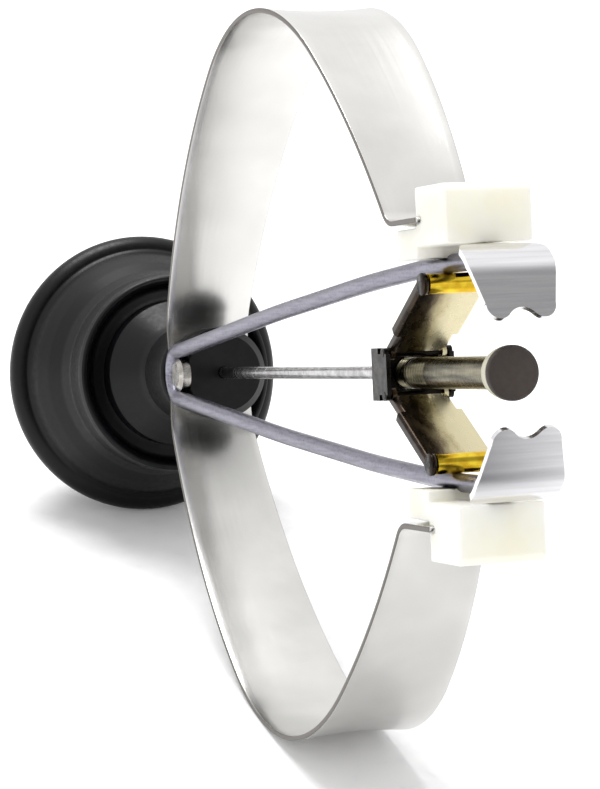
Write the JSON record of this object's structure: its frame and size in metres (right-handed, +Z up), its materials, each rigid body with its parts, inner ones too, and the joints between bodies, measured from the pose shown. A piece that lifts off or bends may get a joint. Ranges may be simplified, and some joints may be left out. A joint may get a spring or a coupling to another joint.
{
  "type": "watch hand puller",
  "caption": "Sprung bow with a turned knob and two soft feet; squeezing it closes a pair of wire claws under a watch hand while a plunger holds the arbor.",
  "frame": {"origin": "centre of the tool's footprint on the bench as it lies at rest, on the rim of the knob and the lower side of the bow", "axes": "+X along the tool from the knob to the claws, as seen from above; +Y across the width of the spring strip; +Z up from the bench. The tool's own axis rises towards the claws by 17.73 degrees"},
  "size_m": [0.0738, 0.0204, 0.0434],
  "materials": {
    "black_plastic": "moulded black plastic with a turned gloss",
    "spring_steel": "polished stainless spring strip",
    "nylon": "translucent ivory nylon",
    "wire_steel": "satin drawn wire",
    "jaw_steel": "bright nickel plate",
    "brass": "bright turned brass",
    "black_steel": "blackened steel",
    "bronzed_steel": "bronzed sheet steel",
    "grey_steel": "dull gunmetal turned steel",
    "pin_steel": "turned steel",
    "pad_plastic": "dark grey-brown nylon",
    "black_hub": "blackened turned steel"
  },
  "bodies": {
    "handle": {"knob": "black_plastic", "stud": "pin_steel", "bow_spring": "spring_steel", "hub": "black_hub", "claw_rivet": "pin_steel", "claw_bight": "wire_steel"},
    "foot_upper": {"foot_upper": "nylon"},
    "foot_lower": {"foot_lower": "nylon"},
    "claw_upper": {"claw_wire_upper": "wire_steel", "jaw_upper": "jaw_steel", "hinge_bush_upper": "brass"},
    "claw_lower": {"claw_wire_lower": "wire_steel", "jaw_lower": "jaw_steel", "hinge_bush_lower": "brass"},
    "yoke": {"yoke": "black_steel", "yoke_pin_upper": "pin_steel", "yoke_pin_lower": "pin_steel"},
    "link_upper": {"link_upper": "bronzed_steel", "link_pin_upper": "pin_steel"},
    "link_lower": {"link_lower": "bronzed_steel", "link_pin_lower": "pin_steel"},
    "plunger": {"plunger_screw": "grey_steel", "plunger_pad": "pad_plastic", "guide_rod": "pin_steel"}
  },
  "joints": [
    {"name": "squeeze", "type": "slide", "parent": "handle", "child": "foot_upper", "axis": [0.9894, 0, -0.1451], "range_m": [0, 0.00523], "stiffness_N_per_m": 400, "deforming": ["bow_spring"]},
    {"name": "squeeze_lower", "type": "slide", "parent": "handle", "child": "foot_lower", "axis": [0.7217, 0, 0.6922], "range_m": [0, 0.00524]},
    {"name": "claw_upper_bend", "type": "hinge", "parent": "handle", "child": "claw_upper", "pos_m": [-0.0109, -0.0029, 0.01762], "axis": [0, 1, 0], "range_deg": [0, 3.01]},
    {"name": "claw_lower_bend", "type": "hinge", "parent": "handle", "child": "claw_lower", "pos_m": [-0.00984, -0.0029, 0.01432], "axis": [0, -1, 0], "range_deg": [0, 3.01]},
    {"name": "yoke_slide", "type": "slide", "parent": "handle", "child": "yoke", "axis": [-0.9525, 0, -0.3046], "range_m": [0, 0.00081]},
    {"name": "link_upper_pivot", "type": "hinge", "parent": "yoke", "child": "link_upper", "pos_m": [0.02205, 0, 0.02755], "axis": [0, 1, 0], "range_deg": [0, 19.25]},
    {"name": "link_lower_pivot", "type": "hinge", "parent": "yoke", "child": "link_lower", "pos_m": [0.02275, 0, 0.02535], "axis": [0, -1, 0], "range_deg": [0, 19.25]},
    {"name": "plunger_adjust", "type": "slide", "parent": "yoke", "child": "plunger", "axis": [0.9525, 0, 0.3046], "range_m": [-0.001, 0.001]}
  ],
  "couplings": [
    {"joint": "squeeze_lower", "follows": "squeeze", "ratio": 1},
    {"joint": "claw_upper_bend", "follows": "squeeze", "rad_per_m": 10.008},
    {"joint": "claw_lower_bend", "follows": "squeeze", "rad_per_m": 10.008},
    {"joint": "yoke_slide", "follows": "squeeze", "ratio": 0.1529},
    {"joint": "link_upper_pivot", "follows": "squeeze", "rad_per_m": 64.05},
    {"joint": "link_lower_pivot", "follows": "squeeze", "rad_per_m": 64.05}
  ]
}
